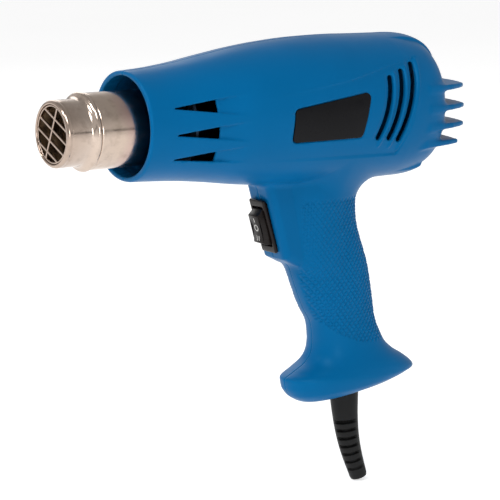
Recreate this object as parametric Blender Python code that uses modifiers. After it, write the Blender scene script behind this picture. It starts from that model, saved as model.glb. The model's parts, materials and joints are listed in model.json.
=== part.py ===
"""Two-setting electric heat gun: split plastic body, steel hot-air nozzle, mica heating element,
fan and DC motor, rocker switch and cable guard, each piece as its own closed solid.

World frame: metres, +Z up, origin at the middle of the grip, the nozzle points to -X.
Every piece hangs on an empty at the nozzle's lip, on the barrel's axis. Local numbers are
millimetres in that barrel frame: x runs rearwards from the lip, z up from the axis, and
y to the gun's right-hand side.
"""
import math

import bmesh
import bpy
from mathutils import Matrix, Vector

MM = 0.001

# ------------------------------------------------------------------ driving dimensions (mm)
LIP_X = -175.0              # world x of the nozzle's lip
AXIS_Z = 95.0               # world z of the barrel's axis
GAP = 0.3                   # clearance between neighbouring pieces
WALL = 3.0                  # body shell thickness

TUBE_R = 17.75              # outside radius of the nozzle that accessories slide over
DRUM_R = 20.2               # outside radius of the heater drum behind it
DRUM_END = 97.0             # x where the drum meets its flange
SHEET = 0.8                 # steel sheet thickness
GRILLE_TURN = 23.5          # degrees the outlet grille is turned about the barrel's axis
GRILLE_BARS = (8.5, 2.1, -4.4, -10.8)       # offsets of its parallel bars from the axis
GRILLE_CROSS = 1.1          # offset of the bar across them

MOUTH_X = 43.2              # front rim of the plastic body
MOUTH_R = 27.4              # clear radius of that mouth
# x, half width, half height, height of the section's middle
BARREL = (
    (43.2, 29.2, 29.2, 1.0),
    (54.0, 29.7, 29.7, 1.0),
    (72.0, 31.2, 31.2, 1.3),
    (91.0, 33.4, 33.8, 1.7),
    (110.0, 35.3, 36.6, 1.8),
    (129.0, 36.8, 38.6, 1.9),
    (150.0, 37.7, 39.9, 1.9),
    (172.0, 38.0, 40.2, 1.8),
    (190.0, 38.0, 39.8, 1.6),
    (207.0, 37.4, 39.4, 1.5),
)
BARREL_POWER = 2.15         # section roundness: 2 is an ellipse
DOME_LENGTH = 33.5          # rear dome beyond the last barrel section
DOME_POWER = 3.0
DOME_STEPS = 5

# z, x of the middle, half depth, half width, tilt in degrees
HANDLE = (
    (-24.0, 163.5, 25.5, 20.0, 0.0),
    (-45.0, 164.4, 24.2, 17.6, 0.0),
    (-60.0, 166.2, 23.0, 17.0, 0.0),
    (-84.0, 172.6, 24.1, 17.0, 0.0),
    (-98.0, 176.5, 22.9, 16.8, 0.0),
    (-107.0, 179.1, 21.7, 16.4, 0.0),
    (-116.0, 182.4, 19.9, 16.1, 0.0),
    (-125.0, 185.0, 21.2, 16.5, 0.0),
    (-130.0, 186.4, 22.9, 17.1, 0.0),
    (-134.5, 188.2, 26.2, 18.2, 0.0),
    (-139.0, 189.8, 32.0, 19.6, 0.0),
    (-142.5, 189.2, 37.4, 20.3, 0.0),
    (-146.0, 187.2, 41.6, 20.6, 1.0),
    (-150.8, 187.2, 38.6, 19.2, 6.0),
    (-155.0, 186.6, 30.8, 15.0, 9.0),
)
HANDLE_POWER = 2.3
HANDLE_WAIST = 6            # row of the narrowest section

BOSS_OUTLINE = ((126.2, -33.0), (127.8, -38.5), (139.0, -75.8), (142.0, -79.6), (151.5, -83.6), (168.0, -84.6),
                (168.0, -33.0))
BOSS_HALF_WIDTH = 12.0
BOSS_EDGE = 4.0

FIN_LEVELS = ((12.1, 0.965, 250.0), (1.2, 1.0, 250.0), (-9.0, 0.98, 250.0), (-18.6, 0.90, 246.0))
FIN_HALF_THICKNESS = 1.25
FIN_FLAT = 10.0             # half width of the flat end of each fin

# tip, upper corner and lower corner (x, z) of each wedge-shaped side vent
FRONT_VENTS = (
    ((58.2, 12.2), (82.5, 15.2), (82.8, 9.0)),
    ((58.5, -1.7), (83.6, 1.1), (83.6, -4.8)),
    ((58.9, -14.9), (82.8, -12.1), (82.8, -17.2)),
)
# top and bottom (x, z) of each curved rear vent
REAR_VENTS = (
    ((191.7, 20.1), (182.5, -11.4)),
    ((200.2, 22.9), (189.9, -12.0)),
    ((208.7, 25.9), (196.4, -13.3)),
)
REAR_VENT_HALF_WIDTH = 1.25
REAR_VENT_SAG = 1.2         # how far a vent's middle bows rearwards
BADGE = ((128.2, 7.6), (177.6, 14.2), (171.6, -10.6), (126.6, -10.3))

SWITCH_X, SWITCH_Z = 132.6, -59.3   # middle of the switch's seat on the boss
SWITCH_TILT = 17.0
BEZEL = (1.6, 14.0, 29.0)           # depth, width, length
SWITCH_BODY = (21.0, 11.0, 26.0)
ROCKER_WINDOW = (12.5, 9.8, 22.8)
ROCKER_HALF_WIDTH = 4.6
PIVOT_DEPTH = 1.0                   # rocker's axis behind the seat

GUARD_X = 185.2                     # cable guard, where it leaves the foot
GUARD_R = 8.1
GUARD_END = (195.7, -207.0)
GUARD_BORE = 3.4

# x, z and seat height of each case screw, all driven from the right
CASE_SCREWS = (
    (62.0, 25.6, 12.0), (62.0, -24.8, 12.0), (176.0, 31.0, 20.0), (216.0, 24.0, 24.0),
    (214.0, -26.0, 20.0), (176.0, -62.0, 10.5), (191.4, -111.3, 8.2), (163.0, -146.0, 11.0),
    (213.0, -144.0, 11.0),
)
POST_R = 3.8
SCREW_R = 1.3
SCREW_HEAD = (2.4, 1.8)             # radius, height
SCREW_LENGTH = 20.0
CLAMP_SCREWS = (177.6, 195.2)
CLAMP_Z = -143.0

MOTOR = (146.3, 193.0)              # can's front and rear
MOTOR_R = 17.8
SHAFT_R = 1.6
BORE_R = SHAFT_R + GAP
MAGNET_X = (152.0, 184.0)
MAGNET_R = (16.2, 13.7)             # outer and inner radius
MAGNET_SWEEP = 62.0                 # half of each magnet's arc, in degrees
FAN_R = 26.2
FAN_BLADES = 9
BLADE_PITCH = 24.0                  # degrees each blade is turned about its own middle
BLADE_X = 127.0                     # x of that middle

TURN = 24                           # sides of a turned piece
TURN_FINE = 32
OUTER_SIDES = 30
HANDLE_SIDES = 20
INNER_SIDES = 18
POST_SIDES = 8

# ------------------------------------------------------------------ scene and materials
for old in list(bpy.data.objects):
    bpy.data.objects.remove(old, do_unlink=True)

PARTS = bpy.data.collections.new("heat_gun")
CUTTERS = bpy.data.collections.new("cutters")
for collection in (PARTS, CUTTERS):
    bpy.context.scene.collection.children.link(collection)


def make_material(name, colour, roughness, metallic=0.0):
    """A Principled material from an sRGB-like linear colour."""
    material = bpy.data.materials.new(name)
    material.use_nodes = True
    shader = material.node_tree.nodes["Principled BSDF"]
    shader.inputs["Base Color"].default_value = (*colour, 1.0)
    shader.inputs["Roughness"].default_value = roughness
    shader.inputs["Metallic"].default_value = metallic
    return material


MATERIALS = {
    "case_blue": make_material("case_blue", (0.006, 0.115, 0.42), 0.38),
    "black_gloss": make_material("black_gloss", (0.012, 0.012, 0.014), 0.22),
    "black_plastic": make_material("black_plastic", (0.02, 0.02, 0.022), 0.5),
    "nozzle_steel": make_material("nozzle_steel", (0.62, 0.56, 0.53), 0.24, 1.0),
    "zinc_steel": make_material("zinc_steel", (0.55, 0.56, 0.58), 0.35, 1.0),
    "mica": make_material("mica", (0.62, 0.55, 0.42), 0.6),
    "resistance_wire": make_material("resistance_wire", (0.35, 0.33, 0.31), 0.4, 1.0),
    "fan_plastic": make_material("fan_plastic", (0.10, 0.10, 0.11), 0.5),
    "magnet": make_material("magnet", (0.07, 0.07, 0.075), 0.6),
    "brass": make_material("brass", (0.70, 0.48, 0.20), 0.3, 1.0),
    "carbon": make_material("carbon", (0.03, 0.03, 0.03), 0.7),
    "board": make_material("board", (0.05, 0.22, 0.08), 0.5),
    "rubber": make_material("rubber", (0.018, 0.018, 0.018), 0.65),
    "wire_brown": make_material("wire_brown", (0.16, 0.06, 0.03), 0.5),
    "wire_blue": make_material("wire_blue", (0.02, 0.10, 0.40), 0.5),
    "wire_white": make_material("wire_white", (0.75, 0.74, 0.70), 0.6),
}

LIP = bpy.data.objects.new("nozzle_lip_frame", None)
LIP.location = (LIP_X * MM, 0.0, AXIS_Z * MM)
PARTS.objects.link(LIP)


# ------------------------------------------------------------------ modelling helpers
def put(name, mesh, material=None, location=(0, 0, 0), rotation=(0, 0, 0), parent=LIP):
    """Link a mesh under the barrel frame; without a material it is a cutter."""
    obj = bpy.data.objects.new(name, mesh)
    (PARTS if material else CUTTERS).objects.link(obj)
    obj.parent = parent
    obj.location = Vector(location) * MM
    obj.rotation_euler = [math.radians(angle) for angle in rotation]
    if material:
        mesh.materials.clear()
        mesh.materials.append(MATERIALS[material])
        mesh.shade_smooth()
        mesh.set_sharp_from_angle(angle=math.radians(35))
    else:
        obj.hide_render = True
        obj.display_type = "WIRE"
    return obj


def to_mesh(name, bm):
    """Finish a bmesh built in millimetres."""
    bmesh.ops.scale(bm, vec=(MM, MM, MM), verts=bm.verts)
    mesh = bpy.data.meshes.new(name)
    bm.to_mesh(mesh)
    bm.free()
    return mesh


def block(name, low, high, material=None, **place):
    """A box between two corners."""
    low, high = Vector(low), Vector(high)
    bm = bmesh.new()
    bmesh.ops.create_cube(bm, size=1.0)
    bmesh.ops.scale(bm, vec=high - low, verts=bm.verts)
    bmesh.ops.translate(bm, vec=(low + high) / 2, verts=bm.verts)
    return put(name, to_mesh(name, bm), material, **place)


def rod(name, radius, start, end, material=None, sides=16, **place):
    """A round bar from one point to another."""
    start, end = Vector(start), Vector(end)
    along = end - start
    matrix = Matrix.Translation((start + end) / 2) @ along.to_track_quat("Z", "Y").to_matrix().to_4x4()
    bm = bmesh.new()
    bmesh.ops.create_cone(bm, cap_ends=True, segments=sides, radius1=radius, radius2=radius,
                          depth=along.length, matrix=matrix)
    return put(name, to_mesh(name, bm), material, **place)


def turned(name, profile, material=None, sides=TURN):
    """A piece turned about the barrel's axis. The profile's points are (x, radius): along the
    outside from rear to front, then, for a hollow piece, back along the inside."""
    mesh = bpy.data.meshes.new(name)
    points = [(radius * MM, 0.0, x * MM) for x, radius in profile]
    edges = [(i, i + 1) for i in range(len(points) - 1)]
    if profile[0][1] > 0:
        edges.append((len(points) - 1, 0))
    mesh.from_pydata(points, edges, [])
    obj = put(name, mesh, material, rotation=(0, 90, 0))
    screw = obj.modifiers.new("turn", "SCREW")
    screw.steps = screw.render_steps = sides
    screw.use_merge_vertices = True
    screw.merge_threshold = 0.00001
    return obj


def disc(x0, x1, radius, bore=0.0):
    """Profile of a plain disc or ring between two x positions."""
    if bore:
        return ((x1, radius), (x0, radius), (x0, bore), (x1, bore))
    return ((x1, 0.0), (x1, radius), (x0, radius), (x0, 0.0))


def loft(name, rings, material=None, closed_tube=False, **place):
    """Skin a list of rings with equal numbers of points; a closed tube joins last to first."""
    bm = bmesh.new()
    rows = [[bm.verts.new(point) for point in ring] for ring in rings]
    pairs = list(zip(rows, rows[1:]))
    if closed_tube:
        pairs.append((rows[-1], rows[0]))
    count = len(rows[0])
    for first, second in pairs:
        for i in range(count):
            j = (i + 1) % count
            bm.faces.new((first[i], first[j], second[j], second[i]))
    if not closed_tube:
        bm.faces.new(rows[0][::-1])
        bm.faces.new(rows[-1])
    bmesh.ops.recalc_face_normals(bm, faces=bm.faces)
    return put(name, to_mesh(name, bm), material, **place)


def plate(name, outline, half_thickness, material=None, plane="XZ", offset=0.0, **place):
    """A flat outline with thickness, drawn in the XZ plane (thick along y) or the XY plane."""
    curve = bpy.data.curves.new(name, "CURVE")
    curve.dimensions = "2D"
    curve.fill_mode = "BOTH"
    curve.extrude = half_thickness * MM
    spline = curve.splines.new("POLY")
    spline.points.add(len(outline) - 1)
    for point, (u, v) in zip(spline.points, outline):
        point.co = (u * MM, v * MM, 0.0, 1.0)
    spline.use_cyclic_u = True
    mesh = curve_mesh(name, curve)
    if plane == "XZ":
        mesh.transform(Matrix.Rotation(math.radians(90), 4, "X"))
        mesh.transform(Matrix.Translation((0, offset * MM, 0)))
    else:
        mesh.transform(Matrix.Translation((0, 0, offset * MM)))
    return put(name, mesh, material, **place)


def curve_mesh(name, curve):
    """Turn curve data into a closed mesh and drop the curve."""
    source = bpy.data.objects.new(name, curve)
    bpy.context.scene.collection.objects.link(source)
    bpy.context.view_layer.update()
    mesh = bpy.data.meshes.new_from_object(source.evaluated_get(bpy.context.evaluated_depsgraph_get()))
    bm = bmesh.new()
    bm.from_mesh(mesh)
    bmesh.ops.remove_doubles(bm, verts=bm.verts, dist=0.000001)
    bmesh.ops.recalc_face_normals(bm, faces=bm.faces)
    bm.to_mesh(mesh)
    bm.free()
    bpy.data.objects.remove(source, do_unlink=True)
    bpy.data.curves.remove(curve)
    mesh.name = name
    return mesh


def wire(name, points, radius, material, sides_level=2):
    """A round wire along a list of points."""
    curve = bpy.data.curves.new(name, "CURVE")
    curve.dimensions = "3D"
    curve.bevel_depth = radius * MM
    curve.bevel_resolution = sides_level
    curve.use_fill_caps = True
    spline = curve.splines.new("POLY")
    spline.points.add(len(points) - 1)
    for point, place in zip(spline.points, points):
        point.co = (*(Vector(place) * MM), 1.0)
    return put(name, curve_mesh(name, curve), material)


def smooth_path(points, step):
    """Points every `step` mm or so along a Catmull-Rom curve through the given ones."""
    points = [Vector(p) for p in points]
    ends = [points[0] * 2 - points[1]] + points + [points[-1] * 2 - points[-2]]
    path = []
    for a, b, c, d in zip(ends, ends[1:], ends[2:], ends[3:]):
        parts = max(1, round((c - b).length / step))
        for i in range(parts):
            t = i / parts
            path.append(0.5 * (2 * b + (c - a) * t + (2 * a - 5 * b + 4 * c - d) * t * t
                               + (3 * b - a - 3 * c + d) * t ** 3))
    return path + [points[-1]]


def combine(obj, tools, operation):
    """Join or cut with each tool in turn, and keep the result as plain mesh."""
    for tool in tools:
        modifier = obj.modifiers.new(tool.name, "BOOLEAN")
        modifier.operation = operation
        modifier.object = tool
    bpy.context.view_layer.update()
    mesh = bpy.data.meshes.new_from_object(obj.evaluated_get(bpy.context.evaluated_depsgraph_get()))
    obj.modifiers.clear()
    obj.data = mesh
    mesh.shade_smooth()
    mesh.set_sharp_from_angle(angle=math.radians(35))
    return obj


def join(obj, *tools):
    return combine(obj, tools, "UNION")


def cut(obj, *tools):
    return combine(obj, tools, "DIFFERENCE")


def keep_inside(obj, *tools):
    return combine(obj, tools, "INTERSECT")


def copy_of(obj, name, material=None):
    """A second object with its own copy of an unmodified mesh."""
    return put(name, obj.data.copy(), material)


def superellipse(count, power):
    """Unit superellipse points, counter-clockwise."""
    points = []
    for i in range(count):
        angle = math.tau * (i + 0.5) / count
        c, s = math.cos(angle), math.sin(angle)
        points.append((math.copysign(abs(c) ** (2 / power), c), math.copysign(abs(s) ** (2 / power), s)))
    return points


# ------------------------------------------------------------------ body shells
def barrel_loft(name, inset, sides, front):
    """The barrel with its rear dome, shrunk by an inset, starting at x = front."""
    sections = [row for row in BARREL[1:] if row[0] > front + 2]
    if inset:
        sections = sections[:-1:2] + sections[-1:]
    first = BARREL[0]
    sections = [(front, first[1], first[2], first[3])] + sections
    last = BARREL[-1]
    length = DOME_LENGTH - inset
    for step in range(1, DOME_STEPS + 1):
        reach = math.sin(step / (DOME_STEPS + 0.35) * math.pi / 2)
        size = (1 - reach ** DOME_POWER) ** (1 / DOME_POWER)
        sections.append((last[0] + length * reach, (last[1] - inset) * size + inset,
                         (last[2] - inset) * size + inset, last[3]))
    unit = superellipse(sides, BARREL_POWER)
    rings = [[(x, (w - inset) * u, c + (h - inset) * v) for u, v in unit] for x, w, h, c in sections]
    return loft(name, rings)


def handle_loft(name, inset, sides):
    """The handle and its foot, shrunk by an inset."""
    unit = superellipse(sides, HANDLE_POWER)
    rings = []
    for z, x, depth, width, tilt in HANDLE[:HANDLE_WAIST:2] + HANDLE[HANDLE_WAIST:] if inset else HANDLE:
        lift = inset if z == HANDLE[-1][0] else 0.0
        if inset and HANDLE[-3][0] < z + 0.1 < HANDLE[-1][0]:
            lift = inset / 2
        slope = math.radians(tilt)
        rings.append([(x + (depth - inset) * u * math.cos(slope), (width - inset) * v,
                       z + lift + (depth - inset) * u * math.sin(slope)) for u, v in unit])
    return loft(name, rings)


def fin_outline(width, reach):
    """Plan outline of one rear fin, from inside the dome to its flat end."""
    side = [(205.0, 30.0), (218.0, 35.3), (227.0, 34.4), (236.0, 32.0), (243.0, 28.9)]
    corner = [(reach - 3.4, 26.4), (reach - 1.7, 20.5), (reach - 0.5, 14.5), (reach, FIN_FLAT)]
    half = [(x, y * width) for x, y in side + corner]
    return half + [(x, -y) for x, y in half[::-1]]


def vent_outline(top, bottom):
    """A slim slot between two points, bowed rearwards along an arc."""
    top, bottom = Vector(top), Vector(bottom)
    along = (bottom - top).normalized()
    across = Vector((-along.y, along.x))
    if across.x < 0:
        across.negate()
    near, far = [], []
    steps = 6
    for i in range(steps + 1):
        t = i / steps
        bow = across * REAR_VENT_SAG * 4 * t * (1 - t)
        middle = top.lerp(bottom, t) + bow
        near.append(middle - across * REAR_VENT_HALF_WIDTH)
        far.append(middle + across * REAR_VENT_HALF_WIDTH)
    return near + far[::-1]


def switch_frame():
    """Placement shared by the switch's pieces: local x runs into the handle."""
    return {"location": (SWITCH_X, 0, SWITCH_Z), "rotation": (0, -SWITCH_TILT, 0)}


def make_body():
    """Both half shells, with vents, posts, screw holes, the switch's seat and the guard's hole."""
    shell = barrel_loft("outer_barrel", 0.0, OUTER_SIDES, MOUTH_X)
    handle = handle_loft("outer_handle", 0.0, HANDLE_SIDES)
    boss = plate("outer_boss", BOSS_OUTLINE, BOSS_HALF_WIDTH)
    bevel = boss.modifiers.new("edge", "BEVEL")
    bevel.width = BOSS_EDGE * MM
    bevel.segments = 2
    fins = [plate(f"fin_{i}", fin_outline(width, reach), FIN_HALF_THICKNESS, plane="XY", offset=z)
            for i, (z, width, reach) in enumerate(FIN_LEVELS)]
    join(shell, handle, boss, *fins)

    cavity = barrel_loft("inner_barrel", WALL, INNER_SIDES, MOUTH_X + 8.0)
    join(cavity, handle_loft("inner_handle", WALL, INNER_SIDES))
    mouth = rod("mouth", MOUTH_R, (MOUTH_X - 5, 0, BARREL[0][3]), (MOUTH_X + 12, 0, BARREL[0][3]), sides=OUTER_SIDES)
    cut(shell, cavity, mouth)

    posts = [rod(f"post_{i}", POST_R, (x, -44, z), (x, 44, z), sides=POST_SIDES)
             for i, (x, z, _) in enumerate(CASE_SCREWS)]
    posts += [rod(f"clamp_post_{i}", 2.8, (x, -44, CLAMP_Z), (x, -GAP / 2, CLAMP_Z), sides=POST_SIDES)
              for i, x in enumerate(CLAMP_SCREWS)]
    reach = barrel_loft("post_reach", 1.0, INNER_SIDES, MOUTH_X + 1.0)
    join(reach, handle_loft("post_reach_handle", 1.0, INNER_SIDES))
    for post in posts:
        keep_inside(post, reach)
    join(shell, *posts)

    holes = []
    for i, (x, z, seat) in enumerate(CASE_SCREWS):
        well = rod(f"screw_well_{i}", SCREW_HEAD[0] + GAP, (x, seat, z), (x, 45, z), sides=POST_SIDES + 2)
        join(well, rod(f"shank_hole_{i}", SCREW_R + GAP, (x, seat - SCREW_LENGTH - 1, z), (x, seat + 1, z),
                       sides=POST_SIDES))
        holes.append(well)
    holes += [rod(f"clamp_hole_{i}", 1.3, (x, -9.0, CLAMP_Z), (x, 1.0, CLAMP_Z), sides=POST_SIDES)
              for i, x in enumerate(CLAMP_SCREWS)]
    vents = [plate(f"front_vent_{i}", corners, 45.0) for i, corners in enumerate(FRONT_VENTS)]
    vents += [plate(f"rear_vent_{i}", vent_outline(*ends), 45.0) for i, ends in enumerate(REAR_VENTS)]
    seat = block("switch_seat", (-5.0, -SWITCH_BODY[1] / 2 - GAP, -SWITCH_BODY[2] / 2 - GAP),
                 (SWITCH_BODY[0] + 8, SWITCH_BODY[1] / 2 + GAP, SWITCH_BODY[2] / 2 + GAP), **switch_frame())
    outlet = rod("guard_hole", GUARD_R + GAP, (GUARD_X, 0, -148), (GUARD_X, 0, -162), sides=16)
    cut(shell, *holes, *vents, seat, outlet)

    badge_bed = plate("badge_bed", BADGE, 45.0)
    keep_core = barrel_loft("badge_core", 1.5, OUTER_SIDES, MOUTH_X)
    cut(badge_bed, keep_core)
    cut(shell, badge_bed)

    left_side = block("left_side", (-20, -60, -240), (270, -GAP / 2, 60))
    right_side = block("right_side", (-20, GAP / 2, -240), (270, 60, 60))
    left = copy_of(shell, "left_shell", "case_blue")
    right = copy_of(shell, "right_shell", "case_blue")
    keep_inside(left, left_side)
    keep_inside(right, right_side)
    CUTTERS.objects.unlink(shell)
    bpy.data.objects.remove(shell, do_unlink=True)


def shrink_outline(outline, amount):
    """Move each corner of an outline towards its middle."""
    middle = sum((Vector(p) for p in outline), Vector((0, 0))) / len(outline)
    return [Vector(p) - Vector((math.copysign(amount, p[0] - middle.x), math.copysign(amount, p[1] - middle.y)))
            for p in outline]


def make_badges():
    """A curved badge plate in the recess on each side."""
    skin = barrel_loft("badge_skin", GAP, OUTER_SIDES, MOUTH_X)
    core = barrel_loft("badge_back", 1.2, OUTER_SIDES, MOUTH_X)
    for name, side in (("badge_left", -1), ("badge_right", 1)):
        badge = plate(name, shrink_outline(BADGE, GAP), 12.0, "black_gloss", offset=side * 35.0)
        keep_inside(badge, skin)
        cut(badge, core)


def make_case_screws():
    """Nine screws that close the body, and two that hold the cable clamp."""
    def screw(name, x, z, seat, length, shank, head):
        profile_rod = rod(name, shank, (x, seat - length, z), (x, seat + 0.8, z), "zinc_steel", sides=8)
        cap = rod(name + "_head", head[0], (x, seat + GAP, z), (x, seat + GAP + head[1], z), sides=10)
        join(profile_rod, cap)

    for i, (x, z, seat) in enumerate(CASE_SCREWS):
        screw(f"case_screw_{i + 1}", x, z, seat, SCREW_LENGTH, SCREW_R, SCREW_HEAD)
    for i, x in enumerate(CLAMP_SCREWS):
        screw(f"clamp_screw_{i + 1}", x, CLAMP_Z, 6.4, 14.0, 1.0, (2.2, 1.6))


# ------------------------------------------------------------------ nozzle and heating element
def make_nozzle():
    """Pressed steel outlet, its grille, and the ring that centres it in the body."""
    inner_tube, inner_drum = TUBE_R - SHEET, DRUM_R - SHEET
    outside = [(DRUM_END + 1.2, 26.0), (DRUM_END, 26.0), (DRUM_END, DRUM_R), (19.0, DRUM_R),
               (17.6, DRUM_R + 0.5), (16.0, DRUM_R - 0.3), (14.6, TUBE_R + 0.2), (13.6, TUBE_R), (1.9, TUBE_R),
               (0.6, TUBE_R - 0.5), (0.0, TUBE_R - 1.35)]
    inside = [(0.0, inner_tube - 1.7), (1.2, inner_tube - 1.3), (2.0, inner_tube), (14.2, inner_tube),
              (17.6, inner_drum - 0.2), (19.4, inner_drum), (DRUM_END + 1.2, inner_drum)]
    turned("nozzle_tube", outside + inside, "nozzle_steel", TURN_FINE)

    grille = turned("nozzle_grille", disc(2.6, 3.9, inner_tube - GAP, inner_tube - 1.5), "nozzle_steel",
                    TURN_FINE)
    bars = []
    for i, offset in enumerate(GRILLE_BARS):
        half = math.sqrt((inner_tube - 1.1) ** 2 - offset ** 2)
        bars.append(block(f"grille_bar_{i}", (2.8, -half, offset - 0.7), (3.7, half, offset + 0.7),
                          rotation=(GRILLE_TURN, 0, 0)))
    half = inner_tube - 1.1
    bars.append(block("grille_cross", (2.9, GRILLE_CROSS - 0.6, -half), (3.6, GRILLE_CROSS + 0.6, half),
                      rotation=(GRILLE_TURN, 0, 0)))
    join(grille, *bars)

    ring = turned("heat_shield_ring", disc(72.0, 73.6, 26.3, DRUM_R + GAP), "zinc_steel")
    holes = []
    for i in range(8):
        angle = math.tau * (i + 0.5) / 8
        y, z = 23.4 * math.cos(angle), 23.4 * math.sin(angle)
        holes.append(rod(f"shield_hole_{i}", 1.9, (70, y, z), (76, y, z), sides=6))
    cut(ring, *holes)


def coil_points(start, end, radius, turns, per_turn):
    """Points of a helix about the barrel's axis."""
    count = turns * per_turn
    return [(start + (end - start) * i / count, radius * math.cos(math.tau * i / per_turn),
             radius * math.sin(math.tau * i / per_turn)) for i in range(count + 1)]


def make_element():
    """Mica former and sleeve with two nichrome windings, their base disc and thermal cut-out."""
    turned("mica_sleeve", disc(24.0, 92.0, 18.9, 18.3), "mica")
    former = block("mica_former", (26.0, -14.2, -0.6), (87.8, 14.2, 0.6), "mica")
    join(former, block("former_upright", (26.4, -0.6, -14.2), (87.4, 0.6, 14.2)))
    wire("heater_coil_front", coil_points(30.0, 55.0, 15.3, 4, 12), 0.55, "resistance_wire", 1)
    wire("heater_coil_rear", coil_points(59.0, 84.0, 15.3, 4, 12), 0.55, "resistance_wire", 1)
    base = turned("element_base", disc(88.4, 90.4, 17.9), "mica")
    holes = []
    for i in range(4):
        angle = math.tau * (i + 0.42) / 4
        y, z = 10.6 * math.cos(angle), 10.6 * math.sin(angle)
        holes.append(rod(f"base_hole_{i}", 4.2, (86, y, z), (93, y, z), sides=10))
    cut(base, *holes)
    turned("thermal_cutout", ((95.6, 0.0), (95.6, 2.8), (95.0, 3.8), (90.8, 3.8), (90.8, 0.0)), "zinc_steel", 16)


# ------------------------------------------------------------------ fan and motor
def make_fan():
    """Air duct, impeller and the motor's spider."""
    outside = [(141.0, 29.3), (111.0, 29.3), (101.5, 22.8), (100.4, 22.8), (100.4, 26.0), (98.8, 26.0)]
    inside = [(98.8, 20.6), (101.8, 20.9), (111.6, 27.8), (141.0, 27.8)]
    duct = turned("fan_duct", outside + inside, "black_plastic")
    cut(duct, rod("duct_wire_hole", 3.2, (104.5, 0, -36), (104.5, 0, -16), sides=12))

    fan = turned("impeller", ((136.0, 5.5), (135.6, 26.0), (134.2, FAN_R), (133.6, 9.0), (120.0, 6.6),
                              (116.5, 4.6), (116.5, BORE_R), (136.0, BORE_R)), "fan_plastic")
    blades = []
    for i in range(FAN_BLADES):
        angle = math.tau * i / FAN_BLADES
        outline = [(134.6, 5.0), (134.6, 25.4), (126.0, 25.4), (119.0, 20.0), (118.4, 5.0)]
        blade = plate(f"blade_{i}", outline, 0.55)
        middle = Matrix.Translation((BLADE_X * MM, 0, 0))
        blade.data.transform(middle @ Matrix.Rotation(math.radians(BLADE_PITCH), 4, "Z") @ middle.inverted())
        blade.rotation_euler = (angle, 0.0, 0.0)
        blades.append(blade)
    join(fan, *blades)

    spider = turned("motor_spider", disc(141.5, 143.4, 30.6, 5.0), "black_plastic")
    windows = []
    for i in range(6):
        angle = math.tau * (i + 0.5) / 6
        y, z = 22.0 * math.cos(angle), 22.0 * math.sin(angle)
        windows.append(rod(f"spider_window_{i}", 7.4, (139, y, z), (146, y, z), sides=8))
    cut(spider, *windows)


def make_motor():
    """Brushed DC motor: can, end cap, bearings, magnets and brushes, and the parts that spin."""
    front, rear = MOTOR
    turned("motor_can", ((rear, 3.5), (rear, MOTOR_R), (front, MOTOR_R), (front, MOTOR_R - 1.2),
                         (rear - 1.4, MOTOR_R - 1.2), (rear - 1.4, 3.5)), "zinc_steel")
    turned("motor_end_cap", disc(143.8, front - GAP, MOTOR_R, 3.5), "black_plastic")
    turned("bearing_front", disc(143.4, 146.6, 3.2, BORE_R), "brass", 16)
    turned("bearing_rear", disc(191.2, 194.4, 3.2, BORE_R), "brass", 16)
    for name, side in (("magnet_left", -1), ("magnet_right", 1)):
        outline = []
        for radius, sweep in ((MAGNET_R[0], 1), (MAGNET_R[1], -1)):
            for i in range(9):
                angle = math.radians(MAGNET_SWEEP) * (i / 4 - 1) * sweep
                outline.append((side * radius * math.cos(angle), radius * math.sin(angle)))
        loft(name, [[(x, y, z) for y, z in outline] for x in MAGNET_X], "magnet")
    for name, side in (("brush_left", -1), ("brush_right", 1)):
        block(name, (184.0, min(side * 4.9, side * 11.5), -1.4), (187.2, max(side * 4.9, side * 11.5), 1.4),
              "carbon")

    turned("motor_shaft", disc(114.0, 196.4, SHAFT_R), "zinc_steel", 16)
    core = turned("armature", disc(156.0, 180.0, 12.7, BORE_R), "zinc_steel")
    slots = []
    for i in range(7):
        angle = math.tau * i / 7
        y, z = 11.4 * math.cos(angle), 11.4 * math.sin(angle)
        slots.append(rod(f"armature_slot_{i}", 2.3, (154, y, z), (182, y, z), sides=6))
    cut(core, *slots)
    turned("commutator", disc(182.0, 188.6, 4.5, BORE_R), "brass", 16)


def make_rectifier():
    """Round board behind the motor with its four diodes."""
    turned("rectifier_board", disc(197.4, 199.0, 15.0, 3.2), "board")
    for i, (y, z) in enumerate(((-7.5, 5.0), (-7.5, -5.0), (7.5, 5.0), (7.5, -5.0))):
        rod(f"diode_{i + 1}", 1.5, (200.8, y - 2.6, z), (200.8, y + 2.6, z), "black_plastic", sides=12)


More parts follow.
